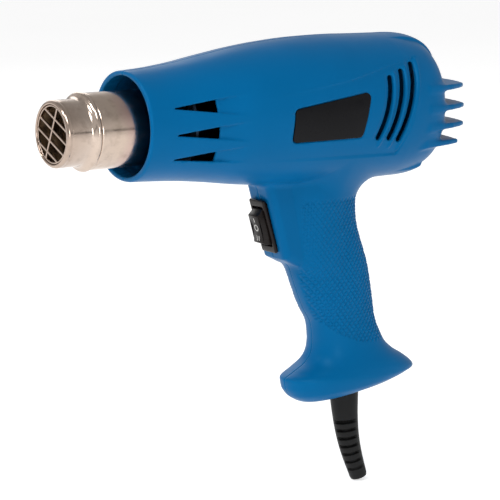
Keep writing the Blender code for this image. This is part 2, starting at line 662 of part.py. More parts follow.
# ------------------------------------------------------------------ switch, wiring and cable entry
def make_switch():
    """Three-position rocker switch in the boss under the barrel."""
    frame = switch_frame()
    depth, width, length = BEZEL
    body = block("switch_body", (-GAP - depth, -width / 2, -length / 2), (-GAP, width / 2, length / 2),
                 "black_plastic", **frame)
    depth, width, length = SWITCH_BODY
    core = block("switch_core", (-1.2, -width / 2, -length / 2), (depth, width / 2, length / 2), **frame)
    depth, width, length = ROCKER_WINDOW
    window = block("switch_window", (-3.0, -width / 2, -length / 2), (depth, width / 2, length / 2), **frame)
    join(body, core)
    cut(body, window)
    for i, height in enumerate((8.0, 0.0, -8.0)):
        start = SWITCH_BODY[0] + GAP
        block(f"switch_terminal_{i + 1}", (start, -2.4, height - 0.4), (start + 7.5, 2.4, height + 0.4),
              "brass", **frame)

    tilt = math.radians(SWITCH_TILT)
    pivot = bpy.data.objects.new("rocker_pivot", None)
    PARTS.objects.link(pivot)
    pivot.parent = LIP
    pivot.location = Vector((SWITCH_X + PIVOT_DEPTH * math.cos(tilt), 0,
                             SWITCH_Z + PIVOT_DEPTH * math.sin(tilt))) * MM
    pivot.rotation_euler = (0, -tilt, 0)
    front = [(-7.2, 7.8), (-6.8, 4.4), (-6.6, 1.5), (-6.7, -1.5), (-7.0, -4.4), (-7.6, -7.7)]
    back = [(-2.6, -10.4), (1.0, -9.4), (5.4, -4.8), (7.2, 0.0), (5.4, 4.8), (1.0, 9.4), (-2.6, 10.4)]
    plate("switch_rocker", front + back, ROCKER_HALF_WIDTH, "black_gloss", parent=pivot)


def make_wiring():
    """Terminal block in the foot and the wires that run through the handle."""
    terminals = block("terminal_block", (173.0, -4.5, -131.0), (189.0, 4.5, -121.0), "wire_white")
    cut(terminals, *[rod(f"terminal_well_{i}", 1.7, (x, -6, -126), (x, 6, -126), sides=10)
                     for i, x in enumerate((177.0, 185.0))])
    radius = 0.8
    low, high = -31.0, 1.4
    wires = {
        "wire_live": ("wire_brown", [(176.6, 0, -120.4), (175.5, 0, -108), (171, 0, -90), (169, 0, -74),
                                     (167.5, 0, -62), (164.8, 0, -53.8), (161.6, 0, -50.5)]),
        "wire_neutral": ("wire_blue", [(184.4, 0, -120.4), (183.0, -2, -106), (182.5, -4, -85), (183, -5, -62),
                                       (180.5, -7, -46), (181, -7.5, -36), (185, -7.5, -28),
                                       (191, -7, -21), (196, -6, -17.5)]),
        "wire_low_heat": ("wire_white", [(159.4, -0.5, -42.6), (156, -high, -37.4), (149, -high, -34.0),
                                         (136, -high, -32.0), (120, -high, low), (109.5, -high, -30.0),
                                         (105.2, -high, -26.4), (102.6, -high, -19.0), (97.2, -high, -11.4),
                                         (92.0, -high, -8.6)]),
        "wire_high_heat": ("wire_brown", [(163.5, 3.6, -58.2), (164, 6.5, -52), (160, 7.5, -43), (152, 6, -36),
                                          (144, 3.4, -32.8), (134, high, -31.8), (120, high, low),
                                          (109.5, high, -30.0), (105.2, high, -26.4), (102.6, high, -19.0),
                                          (97.2, high, -11.4), (92.0, high, -8.6)]),
        "wire_motor": ("wire_brown", [(165.6, 2.6, -46.6), (172, 5, -42), (182, 7, -33), (191, 7, -23),
                                      (196, 6, -17.5)]),
    }
    for name, (material, points) in wires.items():
        wire(name, smooth_path(points, 8.0), radius, material, 1)


def guard_middle(t):
    """Middle of the cable guard: straight down out of the foot, then swept rearwards."""
    start, end = Vector((GUARD_X, 0, -146.5)), Vector((GUARD_END[0], 0, GUARD_END[1]))
    down = start + Vector((0, 0, -36.0))
    lead = end + Vector((-5.2, 0, 15.0))
    u = 1 - t
    return start * u ** 3 + down * 3 * u * u * t + lead * 3 * u * t * t + end * t ** 3


def make_cable_entry():
    """Tapered cable guard with its inner flange, and the clamp above it."""
    stations = ((0.0, 10.2), (0.03, 10.2), (0.03, GUARD_R), (0.1, GUARD_R), (0.28, 7.1), (0.45, 6.4), (0.58, 6.0),
                (0.72, 5.6), (0.86, 5.2), (1.0, 4.6))
    outer, inner = [], []
    for t, radius in stations:
        middle = guard_middle(t)
        along = (guard_middle(t + 0.01) - guard_middle(t - 0.01)).normalized()
        side = Vector((0, 1, 0))
        front = along.cross(side)
        for ring, size in ((outer, radius), (inner, GUARD_BORE)):
            ring.append([middle + side * size * math.cos(a) + front * size * math.sin(a)
                         for a in (math.tau * i / 16 for i in range(16))])
    del inner[1]
    loft("cable_guard", outer + inner[::-1], "rubber", closed_tube=True)

    clamp = block("cord_clamp", (173.6, 0.4, CLAMP_Z - 3), (199.2, 6.3, CLAMP_Z + 3), "black_plastic")
    saddle = rod("clamp_saddle", 3.7, (GUARD_X, 0, CLAMP_Z - 6), (GUARD_X, 0, CLAMP_Z + 6), sides=14)
    holes = [rod(f"clamp_bore_{i}", 1.3, (x, -2, CLAMP_Z), (x, 9, CLAMP_Z), sides=12)
             for i, x in enumerate(CLAMP_SCREWS)]
    cut(clamp, saddle, *holes)


make_body()
make_badges()
make_case_screws()
make_nozzle()
make_element()
make_fan()
make_motor()
make_rectifier()
make_switch()
make_wiring()
make_cable_entry()
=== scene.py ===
"""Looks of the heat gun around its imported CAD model.

Local numbers are millimetres in the barrel frame: x rearwards from the nozzle's lip, y to the gun's
right-hand side, z up from the barrel's axis. world() turns them into the frame's metres.
"""
import json
import math

import bmesh
import bpy
import numpy as np
import openvdb
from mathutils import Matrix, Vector

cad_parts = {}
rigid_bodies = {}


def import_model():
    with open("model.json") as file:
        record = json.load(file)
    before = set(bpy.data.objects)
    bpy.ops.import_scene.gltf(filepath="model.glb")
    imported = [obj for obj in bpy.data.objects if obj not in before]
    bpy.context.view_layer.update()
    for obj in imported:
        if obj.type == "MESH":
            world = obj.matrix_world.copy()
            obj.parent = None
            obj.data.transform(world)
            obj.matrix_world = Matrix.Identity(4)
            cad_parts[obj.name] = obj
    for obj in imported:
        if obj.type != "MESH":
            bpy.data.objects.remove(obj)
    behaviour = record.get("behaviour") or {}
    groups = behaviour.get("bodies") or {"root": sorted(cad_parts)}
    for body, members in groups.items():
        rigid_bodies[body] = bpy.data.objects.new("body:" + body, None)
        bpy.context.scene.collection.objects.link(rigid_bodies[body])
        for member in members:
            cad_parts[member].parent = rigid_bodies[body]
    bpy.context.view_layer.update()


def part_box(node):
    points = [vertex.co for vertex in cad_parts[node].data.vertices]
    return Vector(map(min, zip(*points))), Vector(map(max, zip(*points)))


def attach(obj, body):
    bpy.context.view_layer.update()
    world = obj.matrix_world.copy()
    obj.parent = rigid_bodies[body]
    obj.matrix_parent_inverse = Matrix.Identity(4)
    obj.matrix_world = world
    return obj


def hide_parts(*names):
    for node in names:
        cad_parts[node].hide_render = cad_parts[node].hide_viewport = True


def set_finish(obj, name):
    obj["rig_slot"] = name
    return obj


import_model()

MM = 0.001
LIP = Vector((-175.0, 0.0, 95.0))       # the barrel frame's origin in world millimetres

# ---------------------------------------------------------------- camera
CAMERA_TARGET = Vector((-0.0456, 0.0098, 0.0209))
CAMERA_AZIMUTH, CAMERA_ELEVATION = math.radians(-33.5), math.radians(9.8)
CAMERA_DISTANCE = 1.74
CAMERA_LENS, CAMERA_SENSOR = 230.4, 36.0

back = Vector((math.sin(CAMERA_AZIMUTH) * math.cos(CAMERA_ELEVATION),
               -math.cos(CAMERA_AZIMUTH) * math.cos(CAMERA_ELEVATION), math.sin(CAMERA_ELEVATION)))
camera = bpy.data.objects.new("camera", bpy.data.cameras.new("camera"))
bpy.context.scene.collection.objects.link(camera)
camera.data.lens = CAMERA_LENS
camera.data.sensor_width = CAMERA_SENSOR
camera.data.clip_start, camera.data.clip_end = 0.05, 60.0
camera.location = CAMERA_TARGET + back * CAMERA_DISTANCE
camera.rotation_mode = "QUATERNION"
camera.rotation_quaternion = (-back).to_track_quat("-Z", "Y")
bpy.context.scene.camera = camera

# ---------------------------------------------------------------- body dimensions (mm)
MOUTH_X, MOUTH_R, MOUTH_Z = 43.2, 26.7, 1.0
# x, half width, half height, height of the middle
BARREL = np.array((
    (43.2, 29.2, 29.2, 1.0), (54.0, 29.7, 29.7, 1.0), (72.0, 31.2, 31.2, 1.3), (91.0, 33.4, 33.8, 1.7),
    (110.0, 35.3, 36.6, 1.8), (129.0, 36.8, 38.6, 1.9), (150.0, 37.7, 39.9, 1.9), (172.0, 38.0, 40.2, 1.8),
    (190.0, 38.0, 39.8, 1.6), (207.0, 37.4, 39.4, 1.5)))
BARREL_POWER, DOME_LENGTH, DOME_POWER = 2.15, 33.5, 3.0
# z, x of the middle, half depth, half width, tilt in degrees
HANDLE = np.array((
    (-24.0, 163.5, 25.5, 20.0, 0.0), (-45.0, 164.4, 24.2, 17.6, 0.0), (-60.0, 166.2, 23.0, 17.0, 0.0),
    (-84.0, 172.6, 24.1, 17.0, 0.0), (-98.0, 176.5, 22.9, 16.8, 0.0), (-107.0, 179.1, 21.7, 16.4, 0.0),
    (-116.0, 182.4, 19.9, 16.1, 0.0), (-125.0, 185.0, 21.2, 16.5, 0.0), (-130.0, 186.4, 22.9, 17.1, 0.0),
    (-134.5, 188.2, 26.2, 18.2, 0.0), (-139.0, 189.8, 32.0, 19.6, 0.0), (-142.5, 189.2, 37.4, 20.3, 0.0),
    (-146.0, 187.2, 41.6, 20.6, 1.0), (-150.8, 187.2, 38.6, 19.2, 6.0), (-155.0, 186.6, 30.8, 15.0, 9.0)))
HANDLE_POWER = 2.3
# switch boss: x, z of its outline
BOSS = ((126.2, -33.0), (127.4, -38.5), (137.3, -74.0), (138.5, -77.8), (146.4, -81.9), (152.0, -84.0),
        (170.0, -84.8), (170.0, -25.0), (126.2, -25.0))
BOSS_HALF_WIDTH, BOSS_ROUNDING = 12.0, 4.6
# height, share of the full width, rear end
FINS = ((12.1, 0.965, 250.0), (1.2, 1.0, 250.0), (-9.0, 0.98, 250.0), (-18.6, 0.90, 246.0))
# x, z of each opening's corners: tip, upper, lower
FRONT_VENTS = (
    ((58.2, 12.2), (82.5, 15.2), (82.8, 9.0)),
    ((58.5, -1.7), (83.6, 1.1), (83.6, -4.8)),
    ((58.9, -14.9), (82.8, -12.1), (82.8, -17.2)),
)
# x, z of each slot's top and bottom
REAR_VENTS = (((191.7, 20.1), (182.5, -11.4)), ((200.2, 22.9), (189.9, -12.0)),
              ((208.7, 25.9), (196.4, -13.3)))
REAR_VENT_HALF_WIDTH, REAR_VENT_SAG = 1.5, 1.2
BADGE = ((128.2, 7.6), (177.6, 14.2), (171.6, -10.6), (126.6, -10.3))
SWITCH_X, SWITCH_Z, SWITCH_TILT = 132.6, -59.3, math.radians(17.0)
SWITCH_SEAT_DEPTH, SWITCH_SEAT_WIDTH, SWITCH_SEAT_HEIGHT = 29.0, 5.8, 13.3
# x, z and the depth of the head's seat
CASE_SCREWS = (
    (62.0, 25.6, 12.0), (62.0, -24.8, 12.0), (176.0, 31.0, 20.0), (216.0, 24.0, 24.0),
    (214.0, -26.0, 20.0), (176.0, -62.0, 10.5), (191.4, -111.3, 8.2), (163.0, -146.0, 11.0),
    (213.0, -144.0, 11.0))
POST_R, WELL_R, SEAT_THICKNESS = 4.3, 3.0, 2.0
WALL = 3.0
THROAT_X, MOUTH_DEPTH = 52.0, 56.0       # where the inside starts, and how far back the mouth's bore runs
PARTING_GAP, PARTING_ROUNDING = 0.06, 0.28
GUARD_EXIT_X, GUARD_EXIT_R, GUARD_EXIT_TOP = 185.2, 8.5, -146.0


def world(points):
    """Barrel millimetres to world metres, for one point or an array of them."""
    return (np.asarray(points, float) + np.array(LIP)) * MM


# ---------------------------------------------------------------- distance fields
def smooth_rows(table):
    """Monotone cubic interpolation of a table's columns along its first one."""
    order = np.argsort(table[:, 0])
    t, values = table[order, 0], table[order, 1:]
    slope = np.diff(values, axis=0) / np.diff(t)[:, None]
    tangent = np.zeros_like(values)
    same = slope[:-1] * slope[1:] > 0
    mean = np.zeros_like(slope[:-1])
    mean[same] = (2 * slope[:-1] * slope[1:] / (slope[:-1] + slope[1:] + 1e-30))[same]
    tangent[1:-1] = mean
    tangent[0], tangent[-1] = slope[0], slope[-1]

    def read(x):
        x = np.clip(x, t[0], t[-1])
        i = np.clip(np.searchsorted(t, x, side="right") - 1, 0, len(t) - 2)
        h = (t[i + 1] - t[i])
        u = (x - t[i]) / h
        a, b = values[i], values[i + 1]
        u, h = u[:, None], h[:, None]
        out = ((2 * u ** 3 - 3 * u ** 2 + 1) * a + (u ** 3 - 2 * u ** 2 + u) * h * tangent[i]
               + (3 * u ** 2 - 2 * u ** 3) * b + (u ** 3 - u ** 2) * h * tangent[i + 1])
        return out.T

    return read


barrel_rows = smooth_rows(BARREL)
handle_rows = smooth_rows(HANDLE)


def step(edge0, edge1, t):
    """Smooth 0 to 1 ramp."""
    u = np.clip((t - edge0) / (edge1 - edge0), 0, 1)
    return u * u * (3 - 2 * u)


def round_union(a, b, radius):
    """a and b joined, the inside corner filled to a radius."""
    ua, ub = np.maximum(radius - a, 0), np.maximum(radius - b, 0)
    return np.maximum(radius, np.minimum(a, b)) - np.hypot(ua, ub)


def round_cut(a, b, radius):
    """a with b taken away, the edge rounded."""
    return -round_union(-a, b, radius)


def round_both(a, b, radius):
    """What a and b share, the edge rounded."""
    return -round_union(-a, -b, radius)


def polygon(u, v, corners):
    """Signed distance to a polygon in a plane."""
    best = np.full(u.shape, 1e9)
    inside = np.zeros(u.shape, bool)
    for (ax, ay), (bx, by) in zip(corners, corners[1:] + corners[:1]):
        ex, ey = bx - ax, by - ay
        wx, wy = u - ax, v - ay
        t = np.clip((wx * ex + wy * ey) / (ex * ex + ey * ey), 0, 1)
        dx, dy = wx - ex * t, wy - ey * t
        best = np.minimum(best, dx * dx + dy * dy)
        crosses = (ay > v) != (by > v)
        if by != ay:
            inside ^= crosses & (u < ax + (v - ay) / (by - ay) * ex)
    return np.where(inside, -1, 1) * np.sqrt(best)


def shrunk(corners, amount):
    """The corners of a convex polygon moved in by an amount from every edge."""
    corners = np.array(corners, float)
    area2 = np.cross(corners, np.roll(corners, -1, 0)).sum()
    inner = []
    for before, here, after in zip(np.roll(corners, 1, 0), corners, np.roll(corners, -1, 0)):
        a, b = here - before, after - here
        na = np.array((-a[1], a[0])) / np.linalg.norm(a) * np.sign(area2)
        nb = np.array((-b[1], b[0])) / np.linalg.norm(b) * np.sign(area2)
        inner.append(tuple(here + (na + nb) * amount / (1 + na @ nb)))
    return inner


BADGE_CORNER = 2.8
BADGE_CORE = shrunk(BADGE, BADGE_CORNER)


def slab(flat, thick, radius):
    """A flat outline of distance `flat` within a thickness of distance `thick`, edges rounded."""
    a, b = flat + radius, thick + radius
    return np.minimum(np.maximum(a, b), 0) + np.hypot(np.maximum(a, 0), np.maximum(b, 0)) - radius


def barrel_field(x, y, z):
    """The barrel: superellipse sections, closed at the rear by a dome."""
    w, h, c = barrel_rows(x)
    u, v = np.abs(y) / w, np.abs(z - c) / h
    ring = u ** BARREL_POWER + v ** BARREL_POWER + 1e-12
    s = np.clip((x - BARREL[-1, 0]) / DOME_LENGTH, 0, None)
    rho = np.where(s > 0, (ring ** (DOME_POWER / BARREL_POWER) + s ** DOME_POWER) ** (1 / DOME_POWER),
                   ring ** (1 / BARREL_POWER))
    r = np.sqrt(y * y + (z - c) ** 2 + (s * DOME_LENGTH) ** 2)
    return r * (1 - 1 / np.maximum(rho, 0.05))


def handle_field(x, y, z, inset=0.0):
    """The handle and foot, whose lowest rows tilt down towards the front."""
    zc = z.copy()
    for _ in range(7):
        mx, _, _, tilt = handle_rows(zc)
        zc = z - (x - mx) * np.tan(np.radians(tilt))
    mx, a, b, tilt = handle_rows(zc)
    a, b = a - inset, b - inset
    u, v = np.abs(x - mx) / a, np.abs(y) / b
    rho = (u ** HANDLE_POWER + v ** HANDLE_POWER + 1e-12) ** (1 / HANDLE_POWER)
    r = np.hypot(x - mx, y)
    side = r * (1 - 1 / np.maximum(rho, 0.05))
    slope = np.where(zc < -128, 0.72, 1.0)
    floor = (HANDLE[-1, 0] + inset - zc) * math.cos(math.radians(HANDLE[-1, 4]))
    return round_both(side * slope, floor, 1.2)


def vent_line(top, bottom, steps=8):
    """Points along a bowed rear vent, and the direction across it, rearwards."""
    top, bottom = np.array(top), np.array(bottom)
    along = (bottom - top) / np.linalg.norm(bottom - top)
    across = np.array((-along[1], along[0]))
    across *= math.copysign(1, across[0])
    t = np.linspace(0, 1, steps + 1)[:, None]
    return top + (bottom - top) * t + across * REAR_VENT_SAG * 4 * t * (1 - t), across


def line_distance(u, v, points):
    """Distance to a polyline."""
    best = np.full(u.shape, 1e9)
    for (ax, ay), (bx, by) in zip(points[:-1], points[1:]):
        ex, ey = bx - ax, by - ay
        wx, wy = u - ax, v - ay
        t = np.clip((wx * ex + wy * ey) / (ex * ex + ey * ey), 0, 1)
        best = np.minimum(best, (wx - ex * t) ** 2 + (wy - ey * t) ** 2)
    return np.sqrt(best)


# side panel: x, z along its top and bottom edges, and down its rear edge
PANEL_TOP = ((80.0, 16.5), (108.0, 15.6), (132.0, 16.6), (165.0, 21.0), (193.0, 27.0), (216.0, 31.0))
PANEL_BOTTOM = ((80.0, -19.5), (134.0, -21.0), (176.0, -22.0), (200.0, -22.6), (220.0, -21.0))
PANEL_REAR = ((215.0, 33.0), (212.6, 28.0), (208.9, 11.8), (204.9, -3.0), (199.4, -16.7), (196.0, -25.0))
PANEL_DEPTH = 0.9


def panel_inset(x, z):
    """How far the side panel lies below the barrel's main skin."""
    top = np.interp(x, *zip(*PANEL_TOP))
    bottom = np.interp(x, *zip(*PANEL_BOTTOM))
    rear = np.interp(z, *zip(*sorted((b, a) for a, b in PANEL_REAR)))
    upper = step(0.0, 1.3, top - z) * step(92, 165, x)
    lower = step(0.0, 1.5, z - bottom) * step(98, 185, x)
    return PANEL_DEPTH * np.minimum(upper, lower) * step(-0.2, 1.2, rear - x)


def knurl(x, z, weight):
    """Depth of the grip's crossed grooves, where its weight is 1."""
    pitch, depth = 2.3, 0.6
    a = math.radians(38)
    s1 = (x * math.cos(a) + z * math.sin(a)) / pitch
    s2 = (-x * math.cos(a) + z * math.sin(a)) / pitch
    g1, g2 = np.abs(s1 - np.round(s1)), np.abs(s2 - np.round(s2))
    groove = 1 - step(0.02, 0.26, np.minimum(g1, g2))
    return depth * groove * weight


# z, x of the front edge of the grip's grooves
GRIP_EDGE = ((-128.5, 200.0), (-126.7, 184.1), (-121.3, 170.7), (-111.6, 158.7), (-99.9, 152.4),
             (-85.8, 149.3), (-77.4, 148.0), (-60.9, 147.3), (-45.0, 146.4))


def grip_weight(x, y, z):
    """1 on the grooved sides of the grip, fading to 0 round them."""
    front = np.interp(z, *zip(*GRIP_EDGE))
    fade = step(0.0, 2.0, x - front) * step(-44.5, -47.5, z) * step(-128.5, -126.0, z)
    return fade * step(4.5, 6.5, np.abs(y))


def tail_depth(x):
    """How far the barrel's tail lies below its top and bottom spines."""
    return step(203.0, 221.0, x) * (1.4 + 1.6 * step(228.0, 241.0, x))


def on_spine(x, y, z):
    """1 on the two spines, each of which ends in a small step."""
    end, half = np.where(z > 0, 236.0, 224.0), np.where(z > 0, 12.0, 18.5)
    return step(half + 0.6, half - 0.6, np.abs(y)) * step(end + 0.4, end - 0.4, x)


def body_field(x, y, z, right):
    """One half of the body: solid skin, less its inside and its openings.

    Each `near` picks the points that a feature can reach, which saves time.
    """
    ay = np.abs(y)
    barrel = barrel_field(x, y, z) + tail_depth(x)
    skin = barrel - tail_depth(x) * on_spine(x, y, z)

    near = (x > 78) & (x < 222) & (ay > 12) & (np.abs(z) < 40)
    skin[near] += panel_inset(x[near], z[near])

    # a hollow behind each front vent, running out rearwards
    near = (x > 52) & (x < 106) & (ay > 12)
    xs, zs = x[near], z[near]
    for tip, upper, lower in FRONT_VENTS:
        along = xs - tip[0]
        length = upper[0] - tip[0]
        rise_up = (upper[1] - tip[1]) / length
        rise_down = (lower[1] - tip[1]) / (lower[0] - tip[0])
        between = np.minimum(tip[1] + rise_up * along - zs, zs - tip[1] - rise_down * along) + 0.5
        sunk = step(0.0, 0.8, between) * step(0.1, 1.0, along / length)
        skin[near] += 1.5 * sunk * step(21.0, 0.0, along - length)
    # a raised lip behind each rear vent and a shallow trough before it
    near = (x > 176) & (x < 220) & (ay > 12) & (z < 32) & (z > -20)
    for ends in REAR_VENTS:
        points, across = vent_line(*ends)
        first, last = points[0] - points[1], points[-1] - points[-2]
        points = np.vstack([points[0] + first * 0.7, points, points[-1] + last * 1.0])
        to_lip = line_distance(x[near], z[near], points + across * 2.5)
        skin[near] -= 0.75 * np.exp(-(to_lip / 0.9) ** 2)
        to_trough = line_distance(x[near], z[near], points[1:-1] - across * 2.0)
        skin[near] += 0.7 * np.exp(-(to_trough / 1.3) ** 2)

    # rear fins: flat plates round the tail, thicker towards the body
    near = x > 196
    xs, ys, zs = x[near], ay[near], z[near]
    for height, width, reach in FINS:
        outline = [(200.0, -20.0), (200.0, 28.0), (205.0, 30.0), (218.0, 35.3), (227.0, 34.4), (236.0, 32.0),
                   (243.0, 28.9), (reach - 3.4, 26.4), (reach - 1.7, 20.5), (reach - 0.5, 14.5), (reach, 9.0),
                   (reach, -20.0)]
        flat = polygon(xs, ys, [(a, b * width) for a, b in outline])
        half = 1.2 + 0.5 * np.clip((reach - xs) / 30.0, 0, 1)
        fin = slab(flat, np.abs(zs - height) - half, 0.9)
        skin[near] = round_union(skin[near], fin, 2.4)

    # handle with its grooves and the switch boss
    near = z < -18
    xs, ys, zs = x[near], y[near], z[near]
    handle = handle_field(xs, ys, zs) + knurl(xs, zs, grip_weight(xs, ys, zs))
    boss = slab(polygon(xs, zs, list(BOSS)), np.abs(ys) - BOSS_HALF_WIDTH, BOSS_ROUNDING)
    grip = round_union(handle, boss, 2.0 + 7.0 * step(147.0, 160.0, xs))
    blend = 3.0 + 9.0 * step(150.0, 172.0, xs)
    skin[near] = round_union(skin[near], grip, blend)

    solid = round_both(skin, MOUTH_X - x, 1.3)

    # hollow inside, the right half's screw posts and the mouth
    inner = barrel + WALL
    inner[near] = np.minimum(inner[near], handle_field(xs, ys, zs, WALL))
    inner = np.maximum(inner, THROAT_X - x)
    mouth = np.maximum(np.hypot(y, z - MOUTH_Z) - MOUTH_R, x - MOUTH_DEPTH)
    solid = np.maximum(solid, -inner)
    if right:
        for sx, sz, seat in CASE_SCREWS:
            near = (np.abs(x - sx) < 6) & (np.abs(z - sz) < 6) & (ay > seat - 8)
            r = np.hypot(x[near] - sx, z[near] - sz)
            post = np.maximum(r - POST_R, np.maximum(skin[near], seat - SEAT_THICKNESS - ay[near]))
            solid[near] = round_union(solid[near], post, 0.5)
            solid[near] = round_cut(solid[near], np.maximum(r - WELL_R, seat - ay[near]), 0.5)
    solid = round_cut(solid, mouth, 0.9)

    # vents
    near = (x > 54) & (x < 90) & (ay > 14)
    for corners in FRONT_VENTS:
        flat = polygon(x[near], z[near], list(corners)) - 0.3
        solid[near] = round_cut(solid[near], flat, 0.5)
    near = (x > 178) & (x < 216) & (ay > 14) & (z < 32) & (z > -20)
    for ends in REAR_VENTS:
        middle = line_distance(x[near], z[near], vent_line(*ends)[0])
        solid[near] = round_cut(solid[near], middle - REAR_VENT_HALF_WIDTH, 0.5)

    # the badge's bed, the switch's seat and the cable guard's exit
    near = (x > 122) & (x < 182) & (ay > 25) & (np.abs(z) < 20)
    flat = polygon(x[near], z[near], BADGE_CORE) - BADGE_CORNER - 0.2
    bed = np.maximum(flat, -(barrel[near] + 1.5))
    solid[near] = round_cut(solid[near], bed, 0.3)

    near = (x < 166) & (z < -30) & (z > -90)
    dx, dz = x[near] - SWITCH_X, z[near] - SWITCH_Z
    u = dx * math.cos(SWITCH_TILT) + dz * math.sin(SWITCH_TILT)
    v = -dx * math.sin(SWITCH_TILT) + dz * math.cos(SWITCH_TILT)
    seat = np.maximum(np.maximum(np.abs(v) - SWITCH_SEAT_HEIGHT, ay[near] - SWITCH_SEAT_WIDTH),
                      np.maximum(-6 - u, u - SWITCH_SEAT_DEPTH))
    solid[near] = round_cut(solid[near], seat, 0.3)

    near = z < -140
    outlet = np.maximum(np.hypot(x[near] - GUARD_EXIT_X, y[near]) - GUARD_EXIT_R, z[near] - GUARD_EXIT_TOP)
    solid[near] = round_cut(solid[near], outlet, 0.8)
    return round_both(solid, PARTING_GAP - (y if right else -y), PARTING_ROUNDING)


# ---------------------------------------------------------------- meshing a field
def link(name, mesh):
    """A mesh put into the scene as a piece."""
    obj = bpy.data.objects.new(name, mesh)
    bpy.context.scene.collection.objects.link(obj)
    return obj


def axis_steps(*spans):
    """Grid lines from (start, end, step) spans laid end to end."""
    lines = [np.linspace(a, b, max(2, int(round((b - a) / s)) + 1))[:-1] for a, b, s in spans]
    return np.concatenate(lines + [[spans[-1][1]]])


def keep_largest(bm):
    """Deletes all but the largest connected piece of a mesh."""
    waiting, pieces = set(bm.verts), []
    while waiting:
        front = [waiting.pop()]
        piece = list(front)
        while front:
            for edge in front.pop().link_edges:
                for vert in edge.verts:
                    if vert in waiting:
                        waiting.remove(vert)
                        piece.append(vert)
                        front.append(vert)
        pieces.append(piece)
    pieces.sort(key=len)
    bmesh.ops.delete(bm, geom=[vert for piece in pieces[:-1] for vert in piece], context="VERTS")


def thinned(mesh, count):
    """The mesh with its flattest edges collapsed until about `count` triangles are left."""
    holder = link("thinning", mesh)
    collapse = holder.modifiers.new("collapse", "DECIMATE")
    collapse.ratio = min(1.0, count / (2 * len(mesh.polygons)))
    thin = bpy.data.meshes.new_from_object(holder.evaluated_get(bpy.context.evaluated_depsgraph_get()))
    bpy.data.objects.remove(holder)
    bpy.data.meshes.remove(mesh)
    return thin


def on_surface(field, co, rounds=3, reach=0.3, probe=0.06):
    """Points moved onto a field's zero surface by Newton steps of at most `reach`."""
    for _ in range(rounds):
        d = field(*co.T)
        grad = np.zeros_like(co)
        for n in range(3):
            up, down = co.copy(), co.copy()
            up[:, n] += probe
            down[:, n] -= probe
            grad[:, n] = (field(*up.T) - field(*down.T)) / (2 * probe)
        square = (grad ** 2).sum(1) + 1e-9
        move = grad * (d / square)[:, None]
        length = np.linalg.norm(move, axis=1)[:, None] + 1e-12
        co = co - move * np.minimum(1, reach / length)
    return co


def mesh_field(name, field, xs, ys, zs, most=None):
    """Closed mesh of a field's zero surface on a grid with uneven lines, thinned to `most` triangles.

    The field is first read once for every block of grid points, and then on each point of the blocks
    that the surface may cross.
    """
    block, far = 4, 3.0
    pads = [np.arange(1, -len(a) % block + 1) for a in (xs, ys, zs)]
    axes = [np.concatenate([a, a[-1] + pad * (a[-1] - a[-2])]) for a, pad in zip((xs, ys, zs), pads)]
    centres = [a.reshape(-1, block).mean(1) for a in axes]
    reach = [np.ptp(a.reshape(-1, block), axis=1) + (a[-1] - a[-2]) for a in axes]
    cx, cy, cz = (m.ravel() for m in np.meshgrid(*centres, indexing="ij"))
    rx, ry, rz = (m.ravel() for m in np.meshgrid(*reach, indexing="ij"))
    rough = field(cx, cy, cz)
    radius = np.sqrt(rx ** 2 + ry ** 2 + rz ** 2) * 0.62 + 1.2
    active = (np.abs(rough) < radius * 1.5).reshape([len(c) for c in centres])
    values = np.where(rough > 0, far, -far).astype(np.float32).reshape([len(c) for c in centres])
    for axis in range(3):
        values = np.repeat(values, block, axis)
        active = np.repeat(active, block, axis)
    i, j, k = np.nonzero(active)
    for part in np.array_split(np.arange(len(i)), max(1, len(i) // 400000)):
        a, b, c = i[part], j[part], k[part]
        values[a, b, c] = np.clip(field(axes[0][a], axes[1][b], axes[2][c]), -far, far)
    grid = openvdb.FloatGrid(far)
    grid.copyFromArray(np.ascontiguousarray(values))
    points, quads = grid.convertToQuads(0.0)
    placed = [np.interp(points[:, n], np.arange(len(axes[n])), axes[n]) for n in range(3)]
    co = on_surface(field, np.stack(placed, 1))
    mesh = bpy.data.meshes.new(name)
    mesh.from_pydata(world(co).tolist(), [], quads[:, ::-1].tolist())
    if most:
        mesh = thinned(mesh, most)
    bm = bmesh.new()
    bm.from_mesh(mesh)
    bmesh.ops.remove_doubles(bm, verts=bm.verts, dist=0.00002)
    keep_largest(bm)
    bmesh.ops.recalc_face_normals(bm, faces=bm.faces)
    bm.to_mesh(mesh)
    bm.free()
    mesh.shade_smooth()
    return mesh


base, fine = ((0.8, 0.4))
x_lines = axis_steps((42.0, 140.0, base), (140.0, 202.0, fine), (202.0, 252.0, base))
z_lines = axis_steps((-162.0, -130.0, base), (-130.0, -42.0, fine), (-42.0, 43.5, base))
y_lines = axis_steps((-40.0, -2.0, base), (-2.0, 1.0, 0.3))
CASE_TRIANGLES = 190_000
for name, node, right, lines in (("left_case", "left_shell", False, y_lines),
                                 ("right_case", "right_shell", True, -y_lines[::-1])):
    half = link(name, mesh_field(name, lambda x, y, z: body_field(x, y, z, right), x_lines, lines, z_lines,
                                 CASE_TRIANGLES))
    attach(half, "housing")
    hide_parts(node)
    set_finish(half, "case_blue")

